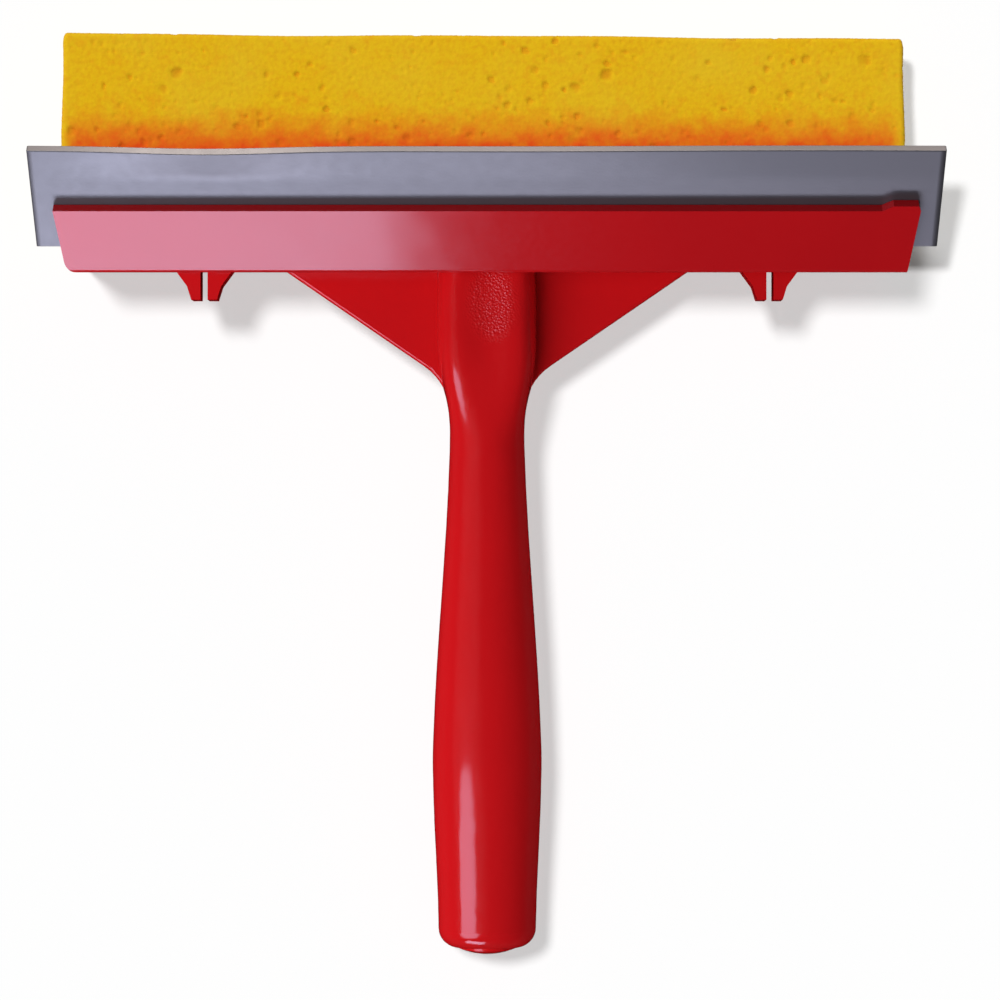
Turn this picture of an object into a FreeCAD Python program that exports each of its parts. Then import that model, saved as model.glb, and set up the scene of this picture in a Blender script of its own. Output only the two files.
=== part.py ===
import FreeCAD, Part
import math
import os

from FreeCAD import Vector

# Window squeegee with a sponge on the same head, lying on its back.
# X runs along the blade, +Y from the butt of the grip towards the sponge,
# +Z up, out of the face that the blade leans over. All sizes are millimetres.

# ---- rubber blade ----
BLADE_LENGTH = 250.0
BLADE_WIDTH = 32.3
BLADE_THICKNESS = 2.5
BLADE_LEAN = 41.0            # degrees between the blade and the handle's plane
BLADE_SLOT_PLAY = 0.3        # slot is this much wider than the blade is thick
BLADE_FOOT_PLAY = 0.1        # under the blade's lower edge

# ---- clamp strip ----
STRIP_END_INSET = 5.9        # blade beyond the strip's top corner, each end
STRIP_END_SLANT = 2.2        # rim corner inside the top corner, each end
STRIP_HEIGHT = 22.0          # measured up the leaning face
STRIP_WALL = 3.0
STRIP_FLANGE_DEPTH = 5.6     # from the outer face to the flange's inner end
STRIP_FLANGE_WALL = 2.3
STRIP_RIM_RADIUS = 2.0
STRIP_CORNER_RADIUS = 5.0
STRIP_FIT = 0.1
TAB_LENGTH = 10.5            # finger tab on the strip's top edge
TAB_HEIGHT = 1.6
TAB_RAMP = 3.0               # slope from the strip's top edge up to the tab
TAB_END_SLANT = 0.6
SNAP_BEAD_RADIUS = 0.5

# ---- head rail ----
RAIL_END_INSET = 1.4         # rail's end inside the strip's rim corner
FLOOR_Y = 66.5               # underside of the rail's floor
FLOOR_THICKNESS = 3.0
REAR_WALL = 2.2
REAR_WALL_HEIGHT = 18.0
FRONT_WALL = 2.2
FRONT_WALL_HEIGHT = 29.0
RIB_WALL = 2.0               # leaning wall behind the blade
RIB_HEIGHT = 22.0
SLOT_FOOT = 5.1              # web between the strip's flange and the blade's edge
RIB_ROOT_RISE = 2.4          # rib root above the strip's rim, up the lean
RAIL_EDGE_RADIUS = 0.8

# ---- sponge and its carrier ----
SPONGE_OVERHANG = 2.5        # foam beyond each end of the rail
SPONGE_HEIGHT = 57.9
SPONGE_DEPTH = 27.0
SPONGE_WALL_GAP = 0.4        # foam to each channel wall
SPONGE_EDGE_RADIUS = 1.2
CARRIER_END_INSET = 1.0      # carrier's end inside the rail's end
CARRIER_THICKNESS = 2.6
CARRIER_FIT = 0.1            # carrier to the rail's floor
CARRIER_WALL_GAP = 0.5
CARRIER_EDGE_RADIUS = 0.5

# ---- split snap pegs ----
PEG_SPACING = 158.8
PEG_DEPTH = 8.0
PEG_FRONT_INSET = 1.2        # peg's front face behind the carrier's front edge
PEG_SHANK_WIDTH = 11.4
PEG_BARB_WIDTH = 16.2
PEG_LEAD_WIDTH = 9.6           # where the barb's lead ends
PEG_TIP_WIDTH = 7.2
PEG_SPLIT = 2.0
PEG_LAND = 1.9
PEG_LENGTH_BELOW_FLOOR = 10.3
PEG_TIP_LENGTH = 3.8
PEG_FIT = 0.3                # shank to the slot in the floor, each side
BARB_FIT = 0.1               # barb's shoulder under the floor

# ---- grip and neck ----
BUTT_Y = -127.3
BUTT_WIDTH = 27.7
BUTT_DEPTH = 24.0
BUTT_RADIUS = 5.4
SWELL_Y = -73.0
SWELL_WIDTH = 31.0
SWELL_DEPTH = 26.4
NECK_Y = 17.0
NECK_WIDTH = 21.1
NECK_DEPTH = 19.0
BLOCK_START_Y = 44.0         # where the neck has become the square block
BLOCK_WIDTH = 31.8
BLOCK_DEPTH = 27.5
BLOCK_STRIP_GAP = 0.5        # block's front face under the strip's flange
GRIP_SLOPE = 0.045           # rise of the grip's centre line per mm towards the head
ROUND_EXPONENT = 2.2         # superellipse exponent of the grip
BLOCK_EXPONENT = 5.0         # superellipse exponent of the block
BLOCK_DRAFT = 0.20           # share by which the block narrows towards its front
FLARE_POWER = 1.5            # how late the neck flares into the block
SQUARE_POWER = 0.4           # how early, within the flare, the section turns square
STATION_STEP = 7.0           # spacing of the loft's sections
SECTION_POINTS = 32

# ---- thumb rest ----
THUMB_START_Y = 20.0         # where the hollow of the front face begins
THUMB_FULL_Y = 46.0          # from here to the head it has its full depth
THUMB_WIDTH = 24.0
THUMB_DEPTH = 1.3

# ---- webs ----
WEB_REACH = 59.5             # half width at the rail's floor
WEB_FOOT_Y = 33.0            # where the slanted edge would meet the neck's side
WEB_THICKNESS = 4.0
WEB_Z = 15.5
WEB_TAIL = 14.0              # plate carried on into the neck below its foot
WEB_ROOT_RADIUS = 17.0
WEB_EDGE_RADIUS = 0.9

# ---- hollow of the grip and its plug ----
BORE_MOUTH_RADIUS = 8.6
BORE_END_RADIUS = 5.6
BORE_END_Y = -8.0
PLUG_SEAT_LENGTH = 9.0
PLUG_SKIRT_WALL = 1.6
PLUG_END_GAP = 1.5           # skirt's end short of the seat's end
PLUG_DOME = 1.9

LEAN = math.radians(BLADE_LEAN)
UP_LEAN = Vector(0, math.cos(LEAN), math.sin(LEAN))       # up the blade
OUT_LEAN = Vector(0, -math.sin(LEAN), math.cos(LEAN))     # out of its front face

STRIP_TOP_LENGTH = BLADE_LENGTH - 2 * STRIP_END_INSET
STRIP_RIM_LENGTH = STRIP_TOP_LENGTH - 2 * STRIP_END_SLANT
RAIL_LENGTH = STRIP_RIM_LENGTH - 2 * RAIL_END_INSET
SPONGE_LENGTH = RAIL_LENGTH + 2 * SPONGE_OVERHANG
CARRIER_LENGTH = RAIL_LENGTH - 2 * CARRIER_END_INSET

FLOOR_TOP_Y = FLOOR_Y + FLOOR_THICKNESS
CHANNEL_DEPTH = SPONGE_DEPTH + 2 * SPONGE_WALL_GAP
FRONT_WALL_Z = REAR_WALL + CHANNEL_DEPTH
SLOT_GAP = BLADE_THICKNESS + BLADE_SLOT_PLAY
RIB_FRONT = STRIP_WALL + SLOT_GAP
RIB_BACK = RIB_FRONT + RIB_WALL
SLOT_BOTTOM = STRIP_FLANGE_WALL + STRIP_FIT + SLOT_FOOT

# The lean's origin is the strip's rim; the rib grows out of the middle of the
# front wall's root, and everything in front of it is stacked from there.
RIB_ROOT = Vector(0, FLOOR_TOP_Y, FRONT_WALL_Z + FRONT_WALL / 2)
RIM = RIB_ROOT - UP_LEAN * RIB_ROOT_RISE + OUT_LEAN * RIB_BACK

# The block stops just under the strip's flange where both meet the floor.
BLOCK_TOP_Z = RIM.z - (FLOOR_Y - RIM.y) / math.tan(LEAN) - BLOCK_STRIP_GAP


def on_lean(x, rise, inward):
    """Point at x, a rise up the lean from the rim, and a depth behind the strip's outer face."""
    return RIM + Vector(x, 0, 0) + UP_LEAN * rise - OUT_LEAN * inward


def prism(points, direction):
    """Closed polygon through the points, carried along the direction."""
    wire = Part.makePolygon(points + [points[0]])
    return Part.Face(wire).extrude(direction)


def bar(outline, length):
    """Outline of (y, z) pairs carried along X, centred on X = 0."""
    points = [Vector(-length / 2, y, z) for y, z in outline]
    return prism(points, Vector(length, 0, 0))


def lean_bar(rise_low, rise_high, inward_near, inward_far, length):
    """Bar whose section is a rectangle in the lean's own directions."""
    corners = [(rise_low, inward_near), (rise_high, inward_near),
               (rise_high, inward_far), (rise_low, inward_far)]
    points = [on_lean(-length / 2, rise, inward) for rise, inward in corners]
    return prism(points, Vector(length, 0, 0))


def edges_along_x(shape, y, z):
    """Edges parallel to X that pass through the given y and z."""
    found = []
    for edge in shape.Edges:
        ends = [vertex.Point for vertex in edge.Vertexes]
        if len(ends) == 2 and all(math.hypot(p.y - y, p.z - z) < 0.01 for p in ends):
            found.append(edge)
    return found


def round_along_x(shape, radius, places):
    """Round every edge along X at the (y, z) places."""
    edges = [edge for y, z in places for edge in edges_along_x(shape, y, z)]
    return shape.makeFillet(radius, edges)


def smooth_step(t):
    """Half straight line, half cosine, from 0 to 1: how the grip's width runs."""
    return (t + (1 - math.cos(math.pi * t)) / 2) / 2


def cosine_step(t):
    return (1 - math.cos(math.pi * min(max(t, 0.0), 1.0))) / 2


def mix(a, b, share):
    return a + (b - a) * share


def thumb_hollow(y, x):
    """Depth of the hollow in the front face: a cosine across it, ramped in along the neck."""
    share = cosine_step((y - THUMB_START_Y) / (THUMB_FULL_Y - THUMB_START_Y))
    return THUMB_DEPTH * share * cosine_step(1 - abs(x) / (THUMB_WIDTH / 2))


def section(y, width, depth, z_middle, exponent, draft):
    """Closed smooth superellipse across the grip, narrowed by the draft towards its front, which
    is hollowed for the thumb."""
    points = []
    for i in range(SECTION_POINTS):
        turn = 2 * math.pi * i / SECTION_POINTS
        c, s = math.cos(turn), math.sin(turn)
        across = math.copysign(abs(c) ** (2 / exponent), c) * width / 2
        up = math.copysign(abs(s) ** (2 / exponent), s)
        x = across * (1 - draft * (up + 1) / 2)
        z = z_middle + up * depth / 2
        if up > 0:
            z -= up * thumb_hollow(y, x)
        points.append(Vector(x, y, z))
    curve = Part.BSplineCurve()
    curve.interpolate(Points=points, PeriodicFlag=True)
    return Part.Wire(curve.toShape())


def grip_middle_z(y):
    return BUTT_DEPTH / 2 + GRIP_SLOPE * (y - BUTT_Y)


def grip_section(y):
    """Section of the grip, neck or block at y."""
    exponent, draft, z_middle = ROUND_EXPONENT, 0.0, grip_middle_z(y)
    if y <= SWELL_Y:
        share = cosine_step((y - BUTT_Y) / (SWELL_Y - BUTT_Y))
        width = mix(BUTT_WIDTH, SWELL_WIDTH, share)
        depth = mix(BUTT_DEPTH, SWELL_DEPTH, share)
    elif y <= NECK_Y:
        share = smooth_step((y - SWELL_Y) / (NECK_Y - SWELL_Y))
        width = mix(SWELL_WIDTH, NECK_WIDTH, share)
        depth = mix(SWELL_DEPTH, NECK_DEPTH, share)
    else:
        share = cosine_step((y - NECK_Y) / (BLOCK_START_Y - NECK_Y)) ** FLARE_POWER
        width = mix(NECK_WIDTH, BLOCK_WIDTH, share)
        depth = mix(NECK_DEPTH, BLOCK_DEPTH, share)
        exponent = mix(ROUND_EXPONENT, BLOCK_EXPONENT, share ** SQUARE_POWER)
        draft = BLOCK_DRAFT * share
        z_middle = mix(grip_middle_z(NECK_Y), BLOCK_TOP_Z - BLOCK_DEPTH / 2, share)
    return section(y, width, depth, z_middle, exponent, draft)


def stations(start, end):
    """Evenly spaced places from start to end, about one station step apart."""
    count = max(2, round((end - start) / STATION_STEP))
    return [start + (end - start) * i / count for i in range(count + 1)]


def make_grip():
    """Grip, neck and block: one smooth loft, its butt edge rounded."""
    places = stations(BUTT_Y, SWELL_Y)
    places += stations(SWELL_Y, NECK_Y)[1:]
    places += stations(NECK_Y, BLOCK_START_Y)[1:]
    places += stations(BLOCK_START_Y, FLOOR_Y + FLOOR_THICKNESS / 2)[1:]
    loft = Part.makeLoft([grip_section(y) for y in places], True, False)
    butt_edges = [edge for edge in loft.Edges if edge.BoundBox.YMax < BUTT_Y + 0.1]
    return loft.makeFillet(BUTT_RADIUS, butt_edges)


def make_web_plate():
    """Both triangular webs as one plate that passes through the neck."""
    side = NECK_WIDTH / 2
    outline = [(-WEB_REACH, FLOOR_Y + FLOOR_THICKNESS / 2), (-WEB_REACH, FLOOR_Y),
               (-side, WEB_FOOT_Y), (-side, WEB_FOOT_Y - WEB_TAIL),
               (side, WEB_FOOT_Y - WEB_TAIL), (side, WEB_FOOT_Y),
               (WEB_REACH, FLOOR_Y), (WEB_REACH, FLOOR_Y + FLOOR_THICKNESS / 2)]
    base = WEB_Z - WEB_THICKNESS / 2
    plate = prism([Vector(x, y, base) for x, y in outline], Vector(0, 0, WEB_THICKNESS))
    roots = []
    for edge in plate.Edges:
        ends = [vertex.Point for vertex in edge.Vertexes]
        upright = abs(ends[0].z - ends[1].z) > WEB_THICKNESS / 2
        if upright and abs(ends[0].y - WEB_FOOT_Y) < 0.01:
            roots.append(edge)
    plate = plate.makeFillet(WEB_ROOT_RADIUS, roots)
    rims = []
    for edge in plate.Edges:
        box = edge.BoundBox
        flat = box.ZLength < 0.01
        if flat and box.YMax < FLOOR_Y + 0.01 and box.XLength > 1.0 and box.YMin > WEB_FOOT_Y - WEB_TAIL + 0.5:
            rims.append(edge)
    return plate.makeFillet(WEB_EDGE_RADIUS, rims)


def make_rail():
    """Floor, rear wall, front wall and the leaning rib, one section along X."""
    top_z = FRONT_WALL_Z + FRONT_WALL
    floor = bar([(FLOOR_Y, 0), (FLOOR_TOP_Y, 0), (FLOOR_TOP_Y, top_z), (FLOOR_Y, FRONT_WALL_Z)], RAIL_LENGTH)
    rear_top = FLOOR_Y + REAR_WALL_HEIGHT
    rear = bar([(FLOOR_Y, 0), (rear_top, 0), (rear_top, REAR_WALL), (FLOOR_Y, REAR_WALL)], RAIL_LENGTH)
    front_top = FLOOR_Y + FRONT_WALL_HEIGHT
    front = bar([(FLOOR_Y, FRONT_WALL_Z), (front_top, FRONT_WALL_Z), (front_top, top_z), (FLOOR_TOP_Y, top_z)],
                RAIL_LENGTH)
    flange_end = STRIP_FLANGE_DEPTH + STRIP_FIT
    root_back = RIB_BACK + FRONT_WALL / 2 * math.cos(LEAN)
    root = lean_bar(0, SLOT_BOTTOM, flange_end, root_back, RAIL_LENGTH)
    foot = lean_bar(STRIP_FLANGE_WALL + STRIP_FIT, SLOT_BOTTOM, STRIP_WALL + STRIP_FIT, RIB_BACK, RAIL_LENGTH)
    rib = lean_bar(SLOT_BOTTOM - SLOT_FOOT, RIB_HEIGHT, RIB_FRONT, RIB_BACK, RAIL_LENGTH)
    rail = floor.multiFuse([rear, front, root, foot, rib]).removeSplitter()
    rib_near, rib_far = on_lean(0, RIB_HEIGHT, RIB_FRONT), on_lean(0, RIB_HEIGHT, RIB_BACK)
    return round_along_x(rail, RAIL_EDGE_RADIUS,
                         [(FLOOR_Y, 0), (rear_top, 0), (rear_top, REAR_WALL), (front_top, FRONT_WALL_Z),
                          (front_top, top_z), (rib_near.y, rib_near.z), (rib_far.y, rib_far.z)])


def peg_middle_z():
    carrier_front = FRONT_WALL_Z - CARRIER_WALL_GAP
    return carrier_front - PEG_FRONT_INSET - PEG_DEPTH / 2


def peg_places():
    return [-PEG_SPACING / 2, PEG_SPACING / 2]


def make_bore():
    """Tapered hollow of the grip with a straight seat for the plug at its mouth."""
    axis = Vector(0, 1, GRIP_SLOPE)
    axis.normalize()
    mouth = Vector(0, BUTT_Y, grip_middle_z(BUTT_Y)) - axis
    seat = Part.makeCylinder(BORE_MOUTH_RADIUS, PLUG_SEAT_LENGTH + 1, mouth, axis)
    taper_start = mouth + axis * PLUG_SEAT_LENGTH
    length = (BORE_END_Y - taper_start.y) / axis.y
    taper = Part.makeCone(BORE_MOUTH_RADIUS - PLUG_SKIRT_WALL / 2, BORE_END_RADIUS, length, taper_start, axis)
    return seat.fuse(taper)


def snap_groove(radius):
    """Round bar along X where the strip's bead clicks under the blade slot's foot."""
    middle = on_lean(-RAIL_LENGTH, STRIP_FLANGE_WALL, (STRIP_WALL + STRIP_FLANGE_DEPTH) / 2)
    return Part.makeCylinder(radius, 2 * RAIL_LENGTH, middle, Vector(1, 0, 0))


def make_handle_body():
    body = make_grip().fuse(make_web_plate())
    body = body.fuse(make_rail())
    for x in peg_places():
        width = PEG_SHANK_WIDTH + 2 * PEG_FIT
        depth = PEG_DEPTH + 2 * PEG_FIT
        corner = Vector(x - width / 2, FLOOR_Y - 1, peg_middle_z() - depth / 2)
        body = body.cut(Part.makeBox(width, FLOOR_THICKNESS + 2, depth, corner))
    body = body.cut(make_bore())
    body = body.cut(snap_groove(SNAP_BEAD_RADIUS + STRIP_FIT))
    return body.removeSplitter()


def make_butt_plug():
    """Domed cap on a hollow skirt that fills the grip's mouth."""
    axis = Vector(0, 1, GRIP_SLOPE)
    axis.normalize()
    mouth = Vector(0, BUTT_Y, grip_middle_z(BUTT_Y))
    skirt = Part.makeCylinder(BORE_MOUTH_RADIUS, PLUG_SEAT_LENGTH - PLUG_END_GAP, mouth, axis)
    cap_inside = mouth + axis * PLUG_SKIRT_WALL
    hollow = Part.makeCylinder(BORE_MOUTH_RADIUS - PLUG_SKIRT_WALL, PLUG_SEAT_LENGTH, cap_inside, axis)
    ball_radius = (BORE_MOUTH_RADIUS ** 2 + PLUG_DOME ** 2) / (2 * PLUG_DOME)
    ball = Part.makeSphere(ball_radius, mouth + axis * (ball_radius - PLUG_DOME))
    reach = Part.makeCylinder(BORE_MOUTH_RADIUS, PLUG_DOME + 1, mouth - axis * (PLUG_DOME + 0.5), axis)
    return skirt.fuse(ball.common(reach)).cut(hollow).removeSplitter()


def make_clamp_strip():
    """L-shaped strip: leaning face, flange under the blade, end tab and snap bead."""
    long_enough = STRIP_TOP_LENGTH + 20
    face = lean_bar(0, STRIP_HEIGHT + TAB_HEIGHT, 0, STRIP_WALL, long_enough)
    flange = lean_bar(0, STRIP_FLANGE_WALL, 0, STRIP_FLANGE_DEPTH, long_enough)
    strip = face.fuse(flange).removeSplitter()
    strip = round_along_x(strip, STRIP_RIM_RADIUS, [(RIM.y, RIM.z)])
    half_rim, half_top = STRIP_RIM_LENGTH / 2, STRIP_TOP_LENGTH / 2
    tab_start = half_top - TAB_LENGTH
    outline = [(-half_rim, 0), (half_rim, 0), (half_top, STRIP_HEIGHT),
               (half_top - TAB_END_SLANT, STRIP_HEIGHT + TAB_HEIGHT),
               (tab_start + TAB_RAMP, STRIP_HEIGHT + TAB_HEIGHT), (tab_start, STRIP_HEIGHT),
               (-half_top, STRIP_HEIGHT)]
    start = STRIP_FLANGE_DEPTH + 5
    blank = prism([on_lean(x, rise, start) for x, rise in outline], OUT_LEAN * (start + 5))
    corner = on_lean(-half_rim, 0, start)
    upright = [edge for edge in blank.Edges
               if min((vertex.Point - corner).Length for vertex in edge.Vertexes) < 0.01
               and abs(edge.Length - (start + 5)) < 0.01]
    blank = blank.makeFillet(STRIP_CORNER_RADIUS, upright)
    strip = strip.common(blank)
    bead = snap_groove(SNAP_BEAD_RADIUS).common(blank)
    return strip.fuse(bead).removeSplitter()


def make_rubber_blade():
    low = SLOT_BOTTOM + BLADE_FOOT_PLAY
    near = STRIP_WALL + BLADE_SLOT_PLAY / 2
    return lean_bar(low, low + BLADE_WIDTH, near, near + BLADE_THICKNESS, BLADE_LENGTH)


def carrier_base_y():
    return FLOOR_TOP_Y + CARRIER_FIT


def make_sponge_carrier():
    depth = CHANNEL_DEPTH - 2 * CARRIER_WALL_GAP
    corner = Vector(-CARRIER_LENGTH / 2, carrier_base_y(), REAR_WALL + CARRIER_WALL_GAP)
    plate = Part.makeBox(CARRIER_LENGTH, CARRIER_THICKNESS, depth, corner)
    uprights = [edge for edge in plate.Edges if edge.BoundBox.YLength > CARRIER_THICKNESS / 2]
    return plate.makeFillet(CARRIER_EDGE_RADIUS, uprights)


def make_snap_legs():
    """Four legs, two to a peg: shank, barb with a slanted lead, and a slim tip."""
    shoulder = FLOOR_Y - BARB_FIT
    land_end = shoulder - PEG_LAND
    tip_end = FLOOR_Y - PEG_LENGTH_BELOW_FLOOR
    half_shank, half_barb = PEG_SHANK_WIDTH / 2, PEG_BARB_WIDTH / 2
    half_lead, half_tip, inner = PEG_LEAD_WIDTH / 2, PEG_TIP_WIDTH / 2, PEG_SPLIT / 2
    outline = [(inner, carrier_base_y()), (half_shank, carrier_base_y()), (half_shank, shoulder),
               (half_barb, shoulder), (half_barb, land_end), (half_lead, tip_end + PEG_TIP_LENGTH),
               (half_tip, tip_end), (inner, tip_end)]
    base = peg_middle_z() - PEG_DEPTH / 2
    legs = []
    for x in peg_places():
        for side in (-1, 1):
            points = [Vector(x + side * across, y, base) for across, y in outline]
            legs.append(prism(points, Vector(0, 0, PEG_DEPTH)))
    return Part.makeCompound(legs)


def make_sponge():
    base = carrier_base_y() + CARRIER_THICKNESS
    corner = Vector(-SPONGE_LENGTH / 2, base, REAR_WALL + SPONGE_WALL_GAP)
    block = Part.makeBox(SPONGE_LENGTH, SPONGE_HEIGHT, SPONGE_DEPTH, corner)
    top = [edge for edge in block.Edges if edge.BoundBox.YMin > base + SPONGE_HEIGHT / 2]
    return block.makeFillet(SPONGE_EDGE_RADIUS, top)


PIECES = {
    "handle_body": make_handle_body,
    "butt_plug": make_butt_plug,
    "clamp_strip": make_clamp_strip,
    "rubber_blade": make_rubber_blade,
    "sponge_carrier": make_sponge_carrier,
    "snap_legs": make_snap_legs,
    "sponge": make_sponge,
}

shapes = {name: make() for name, make in PIECES.items()}

# The origin is the centre of the footprint, on the surface that the squeegee lies on.
whole = Part.makeCompound(list(shapes.values())).optimalBoundingBox(False, False)
to_origin = Vector(-(whole.XMin + whole.XMax) / 2, -(whole.YMin + whole.YMax) / 2, -whole.ZMin)

os.makedirs("parts", exist_ok=True)
for name, shape in shapes.items():
    shape.translate(to_origin)
    box = shape.optimalBoundingBox(False, False)
    print(f"{name}: valid {shape.isValid()}, {len(shape.Solids)} solids, {shape.Volume / 1000:.2f} cm3, "
          f"x {box.XMin:.2f}..{box.XMax:.2f}, y {box.YMin:.2f}..{box.YMax:.2f}, z {box.ZMin:.2f}..{box.ZMax:.2f}")
    shape.exportStep(f"parts/{name}.step")
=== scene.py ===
import math

import bpy
import numpy as np
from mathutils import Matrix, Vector


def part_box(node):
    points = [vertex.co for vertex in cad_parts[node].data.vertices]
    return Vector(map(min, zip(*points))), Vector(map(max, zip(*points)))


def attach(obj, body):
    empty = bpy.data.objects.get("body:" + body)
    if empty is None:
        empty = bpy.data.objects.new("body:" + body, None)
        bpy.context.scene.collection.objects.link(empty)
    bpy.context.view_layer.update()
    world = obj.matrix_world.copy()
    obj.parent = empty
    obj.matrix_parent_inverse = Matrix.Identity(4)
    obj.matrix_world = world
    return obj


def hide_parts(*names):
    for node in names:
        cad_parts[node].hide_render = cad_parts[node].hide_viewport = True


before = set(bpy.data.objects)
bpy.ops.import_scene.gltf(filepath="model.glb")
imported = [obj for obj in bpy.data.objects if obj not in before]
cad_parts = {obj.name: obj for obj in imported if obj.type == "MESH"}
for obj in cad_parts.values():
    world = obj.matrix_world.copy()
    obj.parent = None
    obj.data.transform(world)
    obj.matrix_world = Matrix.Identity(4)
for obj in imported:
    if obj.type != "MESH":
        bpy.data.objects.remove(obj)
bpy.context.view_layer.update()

MM = 0.001

# ---- camera ----
EYE = (3.65 * MM, -0.44 * MM, 986 * MM)
LENS = 122.9                   # focal length and sensor width in millimetres
SENSOR = 36.0
NEAREST, FARTHEST = 0.01, 50.0


def add_camera():
    """Looks straight down on the squeegee as it lies with its blade leaning up."""
    data = bpy.data.cameras.new("camera")
    data.lens = LENS
    data.sensor_width = SENSOR
    data.clip_start = NEAREST
    data.clip_end = FARTHEST
    camera = bpy.data.objects.new("camera", data)
    camera.location = EYE
    bpy.context.scene.collection.objects.link(camera)
    bpy.context.scene.camera = camera


# ---- meshes ----
def skin(name, rows, values=None):
    """Closed smooth mesh from a grid of points. Each row of the grid is a closed ring, the rings
    are joined by quads, and a fan of triangles round the ring's middle closes each end.
    values are named numbers per grid point, kept on the mesh as attributes."""
    count, ring = rows.shape[:2]
    poles = rows[[0, -1]].mean(axis=1)
    points = np.concatenate([rows.reshape(-1, 3), poles])
    index = np.arange(count * ring).reshape(count, ring)
    after = np.roll(index, -1, axis=1)
    quads = np.stack([index[:-1], after[:-1], after[1:], index[1:]], axis=-1).reshape(-1, 4)
    first, last = count * ring, count * ring + 1
    start_fan = np.stack([np.full(ring, first), after[0], index[0]], axis=-1)
    end_fan = np.stack([np.full(ring, last), index[-1], after[-1]], axis=-1)
    a, b, c, d = points[quads[:, 0]], points[quads[:, 1]], points[quads[:, 2]], points[quads[:, 3]]
    volume = (np.cross(b - a, c - a) * a).sum() + (np.cross(c - a, d - a) * a).sum()
    if volume < 0:
        quads, start_fan, end_fan = quads[:, ::-1], start_fan[:, ::-1], end_fan[:, ::-1]
    corners = np.concatenate([quads.ravel(), start_fan.ravel(), end_fan.ravel()])
    sizes = np.concatenate([np.full(len(quads), 4), np.full(2 * ring, 3)])
    mesh = bpy.data.meshes.new(name)
    mesh.vertices.add(len(points))
    mesh.vertices.foreach_set("co", points.astype(np.float32).ravel())
    mesh.loops.add(len(corners))
    mesh.loops.foreach_set("vertex_index", corners.astype(np.int32))
    mesh.polygons.add(len(sizes))
    mesh.polygons.foreach_set("loop_start", np.concatenate([[0], np.cumsum(sizes)[:-1]]).astype(np.int32))
    mesh.update(calc_edges=True)
    mesh.validate()
    mesh.polygons.foreach_set("use_smooth", np.ones(len(mesh.polygons), bool))
    for key, grid in (values or {}).items():
        layer = mesh.attributes.new(key, "FLOAT", "POINT")
        layer.data.foreach_set("value", np.concatenate([grid.ravel(), grid[0, :1], grid[-1, :1]]).astype(np.float32))
    piece = bpy.data.objects.new(name, mesh)
    bpy.context.scene.collection.objects.link(piece)
    return piece


def spaced(start, end, step):
    """Even steps from start up to, but not including, end."""
    count = max(1, int(round(abs(end - start) / step)))
    return np.linspace(start, end, count, endpoint=False)


def smooth(t):
    """0 below 0, 1 above 1, and an S curve between."""
    t = np.clip(t, 0, 1)
    return t * t * (3 - 2 * t)


def grid_normals(rows):
    """Unit normals of a grid of rings, from the differences between neighbours."""
    along = np.gradient(rows, axis=0)
    around = np.roll(rows, -1, axis=1) - np.roll(rows, 1, axis=1)
    normals = np.cross(around, along)
    return normals / np.maximum(np.linalg.norm(normals, axis=-1, keepdims=True), 1e-12)


# ---- sponge ----
FOAM_STEP = 0.45 * MM          # mesh step on foam that shows,
HIDDEN_STEP = 3.0 * MM         # and on foam inside the channel
FOAM_EDGE_RADIUS = 1.3 * MM
EDGE_POINTS = 5                # mesh points round that radius
FOAM_SWELL = 0.5 * MM          # foam stands this far proud once it is out of the channel
FOAM_SHIFT_X = -1.1 * MM       # the block is glued a little to one side
FOAM_CUT_SLANT = -0.0085       # its free edge is cut slightly out of square
FOAM_WAVE = 0.3 * MM           # height of the waves that the saw left in its cut faces
FOAM_WAVES = [(21 * MM, 1.3, 0.5), (9.5 * MM, 4.0, 0.3), (47 * MM, 0.0, 0.6)]    # length, phase, height
SIDE_WAVE_LENGTH = 7 * MM      # the wave of its two end faces, up the block
FREE_REACH = 6 * MM            # foam is at its full swell this far above the channel's mouth
CAP_RINGS = 44                 # rings that close each end face
CAP_POLE = 0.04                # the smallest of them, as a share of the outline
CALM_CAP = 0.35                # bubbles fade within this share of it
FOAM_GRAIN = 0.035 * MM        # torn cell walls, finer than the mesh's own bubbles
PIT_DEPTH = 0.8 * MM           # a bubble this deep gets the full painted pit shade
GLOW_REACH = 18.0 * MM         # painted red light from the channel, as if seen through the foam
GLOW_ENDS = 5 * MM             # and it fades this close to the end faces
REAR_WALL_ABOVE_FLOOR = 14.9 * MM    # the channel's rear wall, from the carrier's glued side up
HIDDEN_MARGIN = 2 * MM         # the fine mesh starts this far inside the channel,
OPEN_REACH = 1.5 * MM          # and over this length the bubbles open
RIM_WOBBLE, WOBBLE_LENGTH = 0.16, 0.55    # shares of the largest radius,
SHORTER_WOBBLE = 1.7           # and how many times shorter the second wave is
BUBBLE_SIZES = [               # cube, share filled, least and most radius, seed, dimple, depth kept
    (6.5 * MM, 0.5, 0.8 * MM, 2.2 * MM, 11, 0.4, 1.0),
    (3.2 * MM, 0.6, 0.5 * MM, 1.25 * MM, 12, 0.0, 0.5),
    (1.6 * MM, 0.5, 0.3 * MM, 0.5 * MM, 14, 0.0, 0.5),
]


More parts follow.
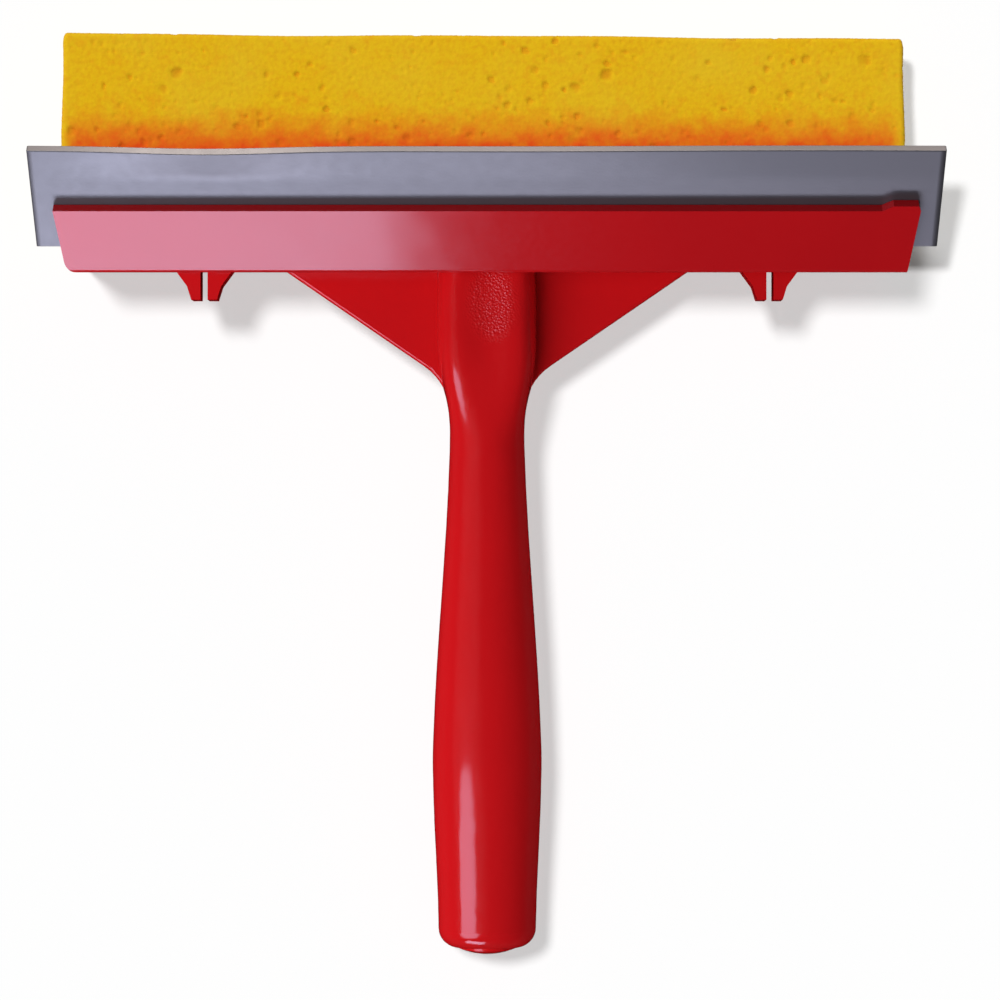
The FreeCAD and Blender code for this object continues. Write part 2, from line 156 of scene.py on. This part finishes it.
def bubbles(points, inward, cell, share, small, large, seed, dimple):
    """Depth to push each point in, so that it lands on the far wall of a gas bubble. Space is cut
    in cubes of side cell; a share of them hold one bubble, with its centre drawn evenly and its
    radius small + (large - small) * draw squared, so that small ones are commoner. A point inside
    a bubble moves along the inward normal to the bubble's wall, by one radius at most. With a
    dimple above 0, the bubble only draws the skin in, by radius * dimple * (1 - (distance /
    radius) squared) squared. The points are first moved by short sine waves, so that no bubble's
    rim is a true circle."""
    phase = points[..., [1, 2, 0]] / (large * WOBBLE_LENGTH) + seed
    points = points + large * RIM_WOBBLE * (np.sin(phase) + np.sin(phase[..., [2, 0, 1]] * SHORTER_WOBBLE))
    low = points.min(axis=(0, 1)) - cell
    slot = np.floor((points - low) / cell).astype(int)
    shape = tuple(slot.max(axis=(0, 1)) + 3)
    draw = np.random.default_rng(seed).random(shape + (5,))
    depth = np.zeros(points.shape[:2])
    for step in np.ndindex(3, 3, 3):
        cube = slot + np.array(step) - 1
        cube = np.clip(cube, 0, np.array(shape) - 1)
        chosen = draw[cube[..., 0], cube[..., 1], cube[..., 2]]
        centre = low + (cube + chosen[..., :3]) * cell
        radius = np.where(chosen[..., 3] < share, small + (large - small) * chosen[..., 4] ** 2, 0.0)
        offset = points - centre
        along = (offset * inward).sum(axis=-1)
        room = radius ** 2 - (offset ** 2).sum(axis=-1)
        if dimple:
            drawn = radius * dimple * (np.maximum(room, 0) / np.maximum(radius, 1e-9) ** 2) ** 2
        else:
            drawn = np.minimum(np.sqrt(np.maximum(along ** 2 + room, 0)) - along, radius)
        depth = np.maximum(depth, np.where(room > 0, drawn, 0.0))
    return depth


def foam_outline(low, high, rear_mouth, front_mouth):
    """Rounded rectangle round the block in the YZ plane, with close points only on foam that
    shows: beyond the channel's rear and front mouths."""
    r = FOAM_EDGE_RADIUS
    quarter = np.linspace(0, math.pi / 2, EDGE_POINTS, endpoint=False)
    y0, y1, z0, z1 = low.y, high.y, low.z, high.z
    parts = [
        (spaced(y0, rear_mouth, HIDDEN_STEP), z0),
        (spaced(rear_mouth, y1 - r, FOAM_STEP), z0),
        (y1 - r + r * np.sin(quarter), z0 + r - r * np.cos(quarter)),
        (y1, spaced(z0 + r, z1 - r, FOAM_STEP)),
        (y1 - r + r * np.cos(quarter), z1 - r + r * np.sin(quarter)),
        (spaced(y1 - r, front_mouth, FOAM_STEP), z1),
        (spaced(front_mouth, y0, HIDDEN_STEP), z1),
        (y0, spaced(z1, z0, HIDDEN_STEP)),
    ]
    pairs = [np.broadcast_arrays(y, z) for y, z in parts]
    return np.concatenate([y for y, z in pairs]), np.concatenate([z for y, z in pairs])


def make_sponge():
    """Cut block of cellular foam. The outline in YZ is carried along X; each end closes through
    an edge radius and rings shrinking by even shares, calm towards the middle where they crowd.
    Long sine waves bend the cut faces, the foam swells where it leaves the channel, and bubbles
    of three sizes open its skin, the deepest at any point counting. pit is the bubble's depth
    and glow falls from 1 in the channel to 0 at GLOW_REACH, both kept for the material, which
    paints shade in the pits and red light along the channel from them."""
    low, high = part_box("sponge")
    rear_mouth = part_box("sponge_carrier")[0].y + REAR_WALL_ABOVE_FLOOR
    front_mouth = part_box("handle_body")[1].y
    y, z = foam_outline(low, high, rear_mouth - HIDDEN_MARGIN, front_mouth - HIDDEN_MARGIN)
    half = (high.x - low.x) / 2
    r = FOAM_EDGE_RADIUS
    turn = np.linspace(0, math.pi / 2, EDGE_POINTS)
    depth_half = (high.z - low.z) / 2
    shrink = np.linspace(CAP_POLE, 1.0, CAP_RINGS, endpoint=False) * (1 - r / depth_half)
    cap_x = np.full(shrink.shape, -half)
    edge_x = -half + r - r * np.cos(turn)
    edge_k = 1 - (r - r * np.sin(turn)) / depth_half
    side_x = spaced(-half + r, half - r, FOAM_STEP)[1:]
    x = np.concatenate([cap_x, edge_x, side_x, -edge_x[::-1], -cap_x[::-1]])
    k = np.concatenate([shrink, edge_k, np.ones(side_x.shape), edge_k[::-1], shrink[::-1]])
    mid_y, mid_z = (low.y + high.y) / 2, (low.z + high.z) / 2
    rows = np.empty((len(x), len(y), 3))
    rows[..., 0] = x[:, None]
    rows[..., 1] = mid_y + (y - mid_y) * k[:, None]
    rows[..., 2] = mid_z + (z - mid_z) * k[:, None]
    px, py, pz = rows[..., 0].copy(), rows[..., 1].copy(), rows[..., 2].copy()
    mouth = np.where(pz > mid_z, front_mouth, rear_mouth)
    free = smooth((py - mouth) / FREE_REACH)
    reach = (py - low.y) / (high.y - low.y)
    wave = sum(np.sin(px / length + phase) * height for length, phase, height in FOAM_WAVES)
    rows[..., 0] += FOAM_SHIFT_X + FOAM_WAVE * np.sin(py / SIDE_WAVE_LENGTH) * px / half * free
    rows[..., 1] += reach ** 2 * (px * FOAM_CUT_SLANT + FOAM_WAVE * wave)
    swell = free * FOAM_SWELL * (1 + 0.5 * wave)
    rows[..., 2] += swell * (pz - mid_z) / depth_half
    inward = -grid_normals(rows)
    if (inward * (rows - rows.mean(axis=(0, 1)))).sum() > 0:
        inward = -inward
    shown = smooth((py - mouth + HIDDEN_MARGIN) / OPEN_REACH) * smooth(k[:, None] / CALM_CAP)
    sizes = [bubbles(rows, inward, *size) * kept for *size, kept in BUBBLE_SIZES]
    depth = np.max(sizes, axis=0) * shown
    grain = np.random.default_rng(13).normal(size=rows.shape[:2]) * FOAM_GRAIN * shown
    rows += inward * (depth + grain)[..., None]
    # painted red light: glow is 1 in the channel and fades up the foam and near its end faces
    glow = 1 - smooth((py - mouth) / GLOW_REACH)
    glow *= smooth((half - np.abs(px)) / GLOW_ENDS)
    return skin("foam_block", rows, {"pit": depth / PIT_DEPTH, "glow": glow})


# ---- rubber blade ----
LEAN = math.radians(41.0)
RUBBER_EDGE = 0.12 * MM
RUBBER_ROWS = 110              # mesh rows up each face
RUBBER_STEP = 1.5 * MM         # mesh step along the blade
RUBBER_END = 0.25 * MM         # its two ends round off within this length,
END_INSET = 0.2 * MM           # where each face is drawn in by this much
CUT_FACE = np.array([0.9, 0.0, -0.9])    # extra points across the cut long edges keep them flat
DIP_PLACE = -76 * MM           # where the free edge is bent forward
DIP_WIDTH = 27 * MM
DIP_TURN = math.radians(9)
RIPPLE_TURN = math.radians(1.2)
RIPPLES = [(19 * MM, 0.7, 0.5), (43 * MM, 2.0, 1.0)]    # length, phase, height
BEND_SHARE = 0.4               # the bend takes up this share of the free height


def make_blade():
    """Thin slab with rounded edges, carried along X. Up to the strip's top it is flat; above that
    its lean opens along an S curve of the height, by a bell-shaped dip and slow sine ripples
    along X, and the section is the sum of short steps along that lean."""
    low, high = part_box("rubber_blade")
    c, s = math.cos(LEAN), math.sin(LEAN)
    # tall = width * s + thickness * c and deep = width * c + thickness * s, solved for the slab
    tall, deep = high.z - low.z, high.y - low.y
    width = (deep * c - tall * s) / (c * c - s * s)
    thickness = (tall - width * s) / c
    foot_y, foot_z = low.y + thickness / 2 * s, low.z + thickness / 2 * c
    clamp = (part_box("clamp_strip")[1].z - foot_z) / s
    rounding = RUBBER_EDGE * np.array([0, 0.3, 1.0])
    between = np.linspace(RUBBER_EDGE, width - RUBBER_EDGE, RUBBER_ROWS)[1:-1]
    rise = np.concatenate([rounding, between, width - rounding[::-1]])
    half_length = (high.x - low.x) / 2
    inner = half_length - RUBBER_END
    x = np.concatenate([[-half_length], spaced(-inner, inner, RUBBER_STEP), [inner, half_length]])
    ripple = sum(np.sin(x / length + phase) * height for length, phase, height in RIPPLES)
    turn = DIP_TURN * np.exp(-((x - DIP_PLACE) / DIP_WIDTH) ** 2) + RIPPLE_TURN * ripple
    lift = smooth((rise - clamp) / (width - clamp) / BEND_SHARE)
    lean = LEAN + turn[:, None] * lift
    step = np.diff(rise)
    mid = (lean[:, 1:] + lean[:, :-1]) / 2
    start = np.zeros((len(x), 1))
    spine_y = foot_y + np.concatenate([start, np.cumsum(np.cos(mid) * step, axis=1)], axis=1)
    spine_z = foot_z + np.concatenate([start, np.cumsum(np.sin(mid) * step, axis=1)], axis=1)
    from_end = np.minimum(rise, width - rise)
    corner = np.clip(1 - from_end / RUBBER_EDGE, 0, 1)
    half_thick = (thickness / 2 - RUBBER_EDGE) + RUBBER_EDGE * np.sqrt(1 - corner ** 2)
    inset = np.where(np.abs(x) > (inner + half_length) / 2, END_INSET, 0.0)[:, None]
    out_y, out_z = -np.sin(lean), np.cos(lean)
    up, face = np.arange(len(rise)), np.ones(len(rise))
    turns = np.concatenate([up, [-1] * len(CUT_FACE), up[::-1], [0] * len(CUT_FACE)])
    side = np.concatenate([face, CUT_FACE, -face, CUT_FACE[::-1]])
    out = side * (half_thick - inset)[:, turns]
    rows = np.stack([np.broadcast_to(x[:, None], out.shape), spine_y[:, turns] + out_y[:, turns] * out,
                     spine_z[:, turns] + out_z[:, turns] * out], axis=-1)
    return skin("rubber_strip", rows)


# ---- colour and nodes ----
def linear(code):
    """sRGB hex code to linear RGBA."""
    channels = [int(code[i:i + 2], 16) / 255 for i in (1, 3, 5)]
    return [c / 12.92 if c <= 0.04045 else ((c + 0.055) / 1.055) ** 2.4 for c in channels] + [1.0]


def add_node(tree, kind, settings=None, inputs=None, links=None):
    """One node with its settings, fixed inputs and links; a link is (input name, source socket)."""
    node = tree.nodes.new(kind)
    for key, value in (settings or {}).items():
        setattr(node, key, value)
    for key, value in (inputs or {}).items():
        node.inputs[key].default_value = value
    for key, source in (links or {}).items():
        tree.links.new(source, node.inputs[key])
    return node


def new_material(name):
    """Empty material with an output, a principled shader and the object's own coordinates."""
    material = bpy.data.materials.new(name)
    material.use_nodes = True
    tree = material.node_tree
    tree.nodes.clear()
    output = add_node(tree, "ShaderNodeOutputMaterial")
    shader = add_node(tree, "ShaderNodeBsdfPrincipled")
    tree.links.new(shader.outputs["BSDF"], output.inputs["Surface"])
    place = add_node(tree, "ShaderNodeTexCoord").outputs["Object"]
    return material, tree, shader, place


# ---- materials ----
POLYPROPYLENE_IOR = 1.49
RUBBER_IOR = 1.95              # above real rubber's 1.52, for the strength of its satin shine
FOAM_IOR = 1.3                 # below solid foam plastic's 1.5: a skin broken by cells hardly shines
THUMB_PATCH = (8 * MM, 12 * MM, 12 * MM)     # half sizes of the spark eroded oval


def moulded_polypropylene(name, colour, flow_colour, thumb_place=None):
    """Polypropylene, injection moulded in a polished tool: a wet-looking gloss over a strong
    pigment, with faint flow marks, very shallow sink waves and hair scuffs that break the shine.
    Round thumb_place the tool was spark eroded: an oval of small pimples, satin between them."""
    material, tree, shader, place = new_material(name)
    shader.inputs["IOR"].default_value = POLYPROPYLENE_IOR
    # flow marks lie in faint clouds about 30 mm across
    flow = add_node(tree, "ShaderNodeTexNoise", None, {"Scale": 1 / (30 * MM), "Detail": 3.0}, {"Vector": place})
    tint = add_node(tree, "ShaderNodeMix", {"data_type": "RGBA"}, {6: linear(colour), 7: linear(flow_colour)},
                    {0: flow.outputs["Fac"]})
    tree.links.new(tint.outputs[2], shader.inputs["Base Color"])
    # scuffs run a few millimetres along the grip and are drawn 0.6 mm wide, coarse enough to show
    stretched = add_node(tree, "ShaderNodeMapping", None, {"Scale": (1.0, 0.12, 1.0), "Rotation": (0, 0, 0.35)},
                         {"Vector": place})
    scuffs = add_node(tree, "ShaderNodeTexNoise", None, {"Scale": 1 / (0.6 * MM)},
                      {"Vector": stretched.outputs["Vector"]})
    gloss = add_node(tree, "ShaderNodeMapRange", None,
                     {"From Min": 0.35, "From Max": 0.8, "To Min": 0.11, "To Max": 0.16},
                     {"Value": scuffs.outputs["Fac"]})
    # sink waves come as the thick walls shrink, about 22 mm apart
    sink = add_node(tree, "ShaderNodeTexNoise", None, {"Scale": 1 / (22 * MM), "Detail": 1.0}, {"Vector": place})
    waves = add_node(tree, "ShaderNodeBump", None, {"Strength": 0.3, "Distance": 0.4 * MM},
                     {"Height": sink.outputs["Fac"]})
    roughness, normal = gloss.outputs["Result"], waves.outputs["Normal"]
    if thumb_place:
        scale = [1 / radius for radius in THUMB_PATCH]
        shift = [-at * k for at, k in zip(thumb_place, scale)]
        oval = add_node(tree, "ShaderNodeMapping", None, {"Location": shift, "Scale": scale}, {"Vector": place})
        reach = add_node(tree, "ShaderNodeVectorMath", {"operation": "LENGTH"}, None, {0: oval.outputs["Vector"]})
        patch = add_node(tree, "ShaderNodeMapRange", None,
                         {"From Min": 0.7, "From Max": 1.1, "To Min": 1.0, "To Max": 0.0},
                         {"Value": reach.outputs["Value"]})
        satin = add_node(tree, "ShaderNodeMath", {"operation": "MULTIPLY_ADD"}, {1: 0.1},
                         {0: patch.outputs["Result"], 2: roughness})
        # spark erosion leaves pimples of about 0.1 mm; they are drawn 0.65 mm apart to show
        pimples = add_node(tree, "ShaderNodeTexVoronoi", None, {"Scale": 1 / (0.65 * MM)}, {"Vector": place})
        raised = add_node(tree, "ShaderNodeMath", {"operation": "MULTIPLY"}, None,
                          {0: pimples.outputs["Distance"], 1: patch.outputs["Result"]})
        grain = add_node(tree, "ShaderNodeBump", None, {"Strength": 0.9, "Distance": 0.22 * MM},
                         {"Height": raised.outputs["Value"], "Normal": normal})
        roughness, normal = satin.outputs["Value"], grain.outputs["Normal"]
    tree.links.new(roughness, shader.inputs["Roughness"])
    tree.links.new(normal, shader.inputs["Normal"])
    return material


def natural_rubber(name, colour, bloom_colour):
    """Black natural rubber, calendered and knife cut: satin, so that it looks grey where it
    mirrors a lamp, with a faint bloom and a fine grain."""
    material, tree, shader, place = new_material(name)
    shader.inputs["IOR"].default_value = RUBBER_IOR
    bloom = add_node(tree, "ShaderNodeTexNoise", None, {"Scale": 1 / (14 * MM), "Detail": 4.0}, {"Vector": place})
    tint = add_node(tree, "ShaderNodeMix", {"data_type": "RGBA"}, {6: linear(colour), 7: linear(bloom_colour)},
                    {0: bloom.outputs["Fac"]})
    tree.links.new(tint.outputs[2], shader.inputs["Base Color"])
    rub = add_node(tree, "ShaderNodeTexNoise", None, {"Scale": 1 / (3 * MM), "Detail": 3.0}, {"Vector": place})
    satin = add_node(tree, "ShaderNodeMapRange", None,
                     {"From Min": 0.3, "From Max": 0.7, "To Min": 0.41, "To Max": 0.44},
                     {"Value": rub.outputs["Fac"]})
    tree.links.new(satin.outputs["Result"], shader.inputs["Roughness"])
    # the talc's grain is under 0.1 mm and is drawn 0.5 mm coarse to show
    talc = add_node(tree, "ShaderNodeTexNoise", None, {"Scale": 1 / (0.5 * MM)}, {"Vector": place})
    grain = add_node(tree, "ShaderNodeBump", None, {"Strength": 0.2, "Distance": 0.05 * MM},
                     {"Height": talc.outputs["Fac"]})
    tree.links.new(grain.outputs["Normal"], shader.inputs["Normal"])
    return material


def cellular_foam(name, colour, amber, pale, deep, glowing):
    """Open-cell foam, blown and cut to a block: dull, mottled where cell walls are thick or thin,
    darker in its pits by painted shade, and painted red along the plastic channel as light seen through the foam."""
    material, tree, shader, place = new_material(name)
    shader.inputs["Roughness"].default_value = 0.85
    shader.inputs["IOR"].default_value = FOAM_IOR
    # walls thicken and thin from cell to cell, about 1.5 mm, in clouds of about 25 mm
    walls = add_node(tree, "ShaderNodeTexNoise", None, {"Scale": 1 / (1.5 * MM), "Detail": 6.0}, {"Vector": place})
    thick = add_node(tree, "ShaderNodeMapRange", None, {"From Min": 0.42, "From Max": 0.66},
                     {"Value": walls.outputs["Fac"]})
    body = add_node(tree, "ShaderNodeMix", {"data_type": "RGBA"}, {6: linear(colour), 7: linear(amber)},
                    {0: thick.outputs["Result"]})
    cloud = add_node(tree, "ShaderNodeTexNoise", None, {"Scale": 1 / (25 * MM)}, {"Vector": place})
    thin = add_node(tree, "ShaderNodeMapRange", None, {"From Min": 0.4, "From Max": 0.75, "To Max": 0.5},
                    {"Value": cloud.outputs["Fac"]})
    body = add_node(tree, "ShaderNodeMix", {"data_type": "RGBA"}, {7: linear(pale)},
                    {0: thin.outputs["Result"], 6: body.outputs[2]})
    # painted shade: the colour darkens towards the deep colour with each bubble pit's depth
    pit = add_node(tree, "ShaderNodeAttribute", {"attribute_name": "pit"})
    shade = add_node(tree, "ShaderNodeMapRange", None, {"From Min": 0.1, "From Max": 0.9, "To Max": 0.5},
                     {"Value": pit.outputs["Fac"]})
    # the painted red light fades unevenly, in patches of about 5 mm
    glow = add_node(tree, "ShaderNodeAttribute", {"attribute_name": "glow"})
    spots = add_node(tree, "ShaderNodeTexNoise", None, {"Scale": 1 / (5 * MM), "Detail": 5.0}, {"Vector": place})
    uneven = add_node(tree, "ShaderNodeMath", {"operation": "MULTIPLY_ADD"}, {1: 0.9, 2: -0.45},
                      {0: spots.outputs["Fac"]})
    edge = add_node(tree, "ShaderNodeMath", {"operation": "ADD"}, None,
                    {0: glow.outputs["Fac"], 1: uneven.outputs["Value"]})
    lit = add_node(tree, "ShaderNodeMapRange", None, {"From Min": 0.05, "From Max": 1.0},
                   {"Value": edge.outputs["Value"]})
    # painted red light from the channel, mixed into the base colour
    body = add_node(tree, "ShaderNodeMix", {"data_type": "RGBA"}, {7: linear(glowing)},
                    {0: lit.outputs["Result"], 6: body.outputs[2]})
    # the painted pit shade goes on last, over the painted red light
    body = add_node(tree, "ShaderNodeMix", {"data_type": "RGBA"}, {7: linear(deep)},
                    {0: shade.outputs["Result"], 6: body.outputs[2]})
    tree.links.new(body.outputs[2], shader.inputs["Base Color"])
    # the smallest cells are 0.3 mm across and are drawn 0.9 mm to show
    cells = add_node(tree, "ShaderNodeTexVoronoi", None, {"Scale": 1 / (0.9 * MM)}, {"Vector": place})
    fine = add_node(tree, "ShaderNodeBump", None, {"Strength": 0.3, "Distance": 0.15 * MM},
                    {"Height": cells.outputs["Distance"]})
    tree.links.new(fine.outputs["Normal"], shader.inputs["Normal"])
    return material


def set_material(piece, material):
    """The piece's only material."""
    piece.data.materials.clear()
    piece.data.materials.append(material)


# ---- studio ----
WHITE = "#ffffff"
COOL = "#d6ddff"               # the soft boxes mirrored in the gloss
WARM = "#fff0ea"               # behind the blade, seen in its cut edge
HAZE = "#dedcf6"               # low in front of the blade, seen in its face
FLOOR = "#898989"
FLOOR_SHADE = linear(FLOOR)[0]
FLOOR_WHITE = math.pi / FLOOR_SHADE    # the sun's strength that would make the floor just white
WORLD_LIGHT = 0.15             # how strongly the surroundings light things, next to how they look


def gather(name, pieces):
    """Collection that only says which pieces a lamp lights; it isn't linked to the scene."""
    group = bpy.data.collections.new(name)
    for piece in pieces:
        group.objects.link(piece)
    return group


def add_lamp(name, kind, place, aim, energy, group, colour=WHITE, size=None, shape="RECTANGLE", gloss=True,
             diffuse=True):
    """Lamp at place, turned to aim, that lights only the pieces in group. Without gloss it isn't
    mirrored by them; without diffuse it is only mirrored."""
    data = bpy.data.lights.new(name, kind)
    data.energy = energy
    data.color = linear(colour)[:3]
    if size:
        data.shape = shape
        data.size, data.size_y = size
    lamp = bpy.data.objects.new(name, data)
    lamp.location = place
    lamp.rotation_euler = (Vector(aim) - Vector(place)).to_track_quat("-Z", "Y").to_euler()
    lamp.visible_glossy = gloss
    lamp.visible_diffuse = diffuse
    bpy.context.scene.collection.objects.link(lamp)
    lamp.light_linking.receiver_collection = group
    return lamp


def add_world():
    """Pale surroundings: bright to the eye, dim as a light, and absent from the plastic's shine."""
    world = bpy.data.worlds.new("studio")
    world.use_nodes = True
    tree = world.node_tree
    tree.nodes.clear()
    seen = add_node(tree, "ShaderNodeLightPath").outputs["Is Camera Ray"]
    strength = add_node(tree, "ShaderNodeMapRange", None, {"To Min": WORLD_LIGHT, "To Max": 1.0}, {"Value": seen})
    light = add_node(tree, "ShaderNodeBackground", None, {"Color": linear(WHITE)},
                     {"Strength": strength.outputs["Result"]})
    add_node(tree, "ShaderNodeOutputWorld", links={"Surface": light.outputs["Background"]})
    world.cycles_visibility.glossy = False
    bpy.context.scene.world = world


def add_floor():
    """Plain pale floor, a sheet 12 m wide, without a shine of its own."""
    bpy.ops.mesh.primitive_plane_add(size=12.0, location=(0, 0, 0))
    floor = bpy.context.object
    floor.name = "floor"
    material, _, shader, _ = new_material("white_sweep")
    shader.inputs["Base Color"].default_value = linear(FLOOR)
    shader.inputs["Roughness"].default_value = 0.9
    shader.inputs["Specular IOR Level"].default_value = 0.0
    set_material(floor, material)
    floor.visible_glossy = False
    return floor


def light_floor(floor, low_parts, high_parts):
    """Soft light on the floor alone, in three shares: an even fill without shadows, a sun that
    drops a soft shadow under the red mouldings, and a steeper, harder one for the raised blade
    and the foam, so that the shadow is about as deep under every part."""
    ground = gather("ground", [floor])
    fill = add_lamp("floor_fill", "SUN", (0, 0, 3), (0, 0, 0), 0.12 * FLOOR_WHITE, ground)
    fill.data.use_shadow = False
    drop = add_lamp("floor_key", "SUN", (-0.3, 0.29, 1), (0, 0, 0), 0.44 * FLOOR_WHITE, ground)
    drop.data.angle = math.radians(11)
    drop.light_linking.blocker_collection = gather("low_parts", low_parts)
    high = add_lamp("floor_high_key", "SUN", (-0.22, 0.1, 1), (0, 0, 0), 0.44 * FLOOR_WHITE, ground)
    high.data.angle = math.radians(4)
    high.light_linking.blocker_collection = gather("high_parts", high_parts)


def light_pieces(mouldings, blade, sponge):
    """Soft light on the tool: one lamp at the left gives the plastic and rubber their colour, two
    soft boxes are mirrored in the gloss of the grip and of the strip, two low wide ones in the
    blade's face and cut edge, and a sun without a mirror image lights the foam."""
    hard_parts = gather("hard_parts", mouldings + [blade])
    rubber = gather("rubber", [blade])
    soft_parts = gather("soft_parts", [sponge])
    head = (0, 0.05, 0.04)
    add_lamp("left_key", "AREA", (-0.36, -0.16, 0.52), (0, -0.02, 0), 4.0, hard_parts, size=(0.6, 0.6), gloss=False)
    add_lamp("left_shine", "AREA", (-0.68, -0.72, 1.01), (0, -0.72, 0), 10.6, hard_parts, COOL, (0.9, 0.95),
             "ELLIPSE", diffuse=False)
    add_lamp("low_shine", "AREA", (-0.31, -1.3, 0.26), head, 5.0, hard_parts, COOL, (0.5, 0.4), diffuse=False)
    add_lamp("low_haze", "AREA", (-0.2, -1.3, 0.12), head, 10.6, rubber, HAZE, (1.2, 0.24), diffuse=False)
    add_lamp("far_shine", "AREA", (0, 1.2, 0.1), (0, 0.09, 0.05), 15.0, rubber, WARM, (1.2, 0.2), diffuse=False)
    add_lamp("foam_key", "SUN", (-0.45, 0.35, 1.1), (0, 0, 0), 2.9, soft_parts, gloss=False)


# ---- pieces ----
FOAM_YELLOW, FOAM_AMBER, FOAM_PALE = "#e4b617", "#dfa917", "#dfbf2a"
# the pit colour is painted shade in the bubbles; the glow colour is painted red light from the channel
FOAM_PIT_SHADE, FOAM_GLOW_PAINTED = "#c06412", "#e2501a"
RUBBER_BLACK, RUBBER_BLOOM = "#3b393e", "#3e3c41"
RED, RED_FLOW = "#d4151b", "#ca141a"
SHADED_STRIP_RED, SHADED_STRIP_RED_FLOW = "#c4141b", "#ba131a"    # painted shade: the strip is drawn a slightly darker copy of the red
THUMB_X = 1.5 * MM             # middle of the thumb hollow, and its distances from the
THUMB_BELOW_STRIP = 8 * MM     # strip's lower edge
THUMB_BEHIND_STRIP = 5 * MM

add_camera()
sponge = make_sponge()
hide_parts("sponge")
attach(sponge, "refill")
set_material(sponge, cellular_foam("yellow_foam", FOAM_YELLOW, FOAM_AMBER, FOAM_PALE, FOAM_PIT_SHADE, FOAM_GLOW_PAINTED))

blade = make_blade()
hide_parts("rubber_blade")
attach(blade, "blade")
set_material(blade, natural_rubber("black_rubber", RUBBER_BLACK, RUBBER_BLOOM))

mouldings = [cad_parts[name] for name in ("butt_plug", "sponge_carrier", "snap_legs")]
red = moulded_polypropylene("red_polypropylene", RED, RED_FLOW)
for moulding in mouldings:
    set_material(moulding, red)
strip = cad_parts["clamp_strip"]
# the strip gets a darker copy of the red moulding: painted shade, not a different plastic
set_material(strip, moulded_polypropylene("red_polypropylene_strip_shaded", SHADED_STRIP_RED, SHADED_STRIP_RED_FLOW))
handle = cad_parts["handle_body"]
strip_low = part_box("clamp_strip")[0]
thumb_place = (THUMB_X, strip_low.y - THUMB_BELOW_STRIP, strip_low.z - THUMB_BEHIND_STRIP)
set_material(handle, moulded_polypropylene("red_polypropylene_handle", RED, RED_FLOW, thumb_place))

bpy.context.scene.view_settings.view_transform = "Standard"
add_world()
light_floor(add_floor(), mouldings + [handle], [blade, sponge])
light_pieces(mouldings + [strip, handle], blade, sponge)
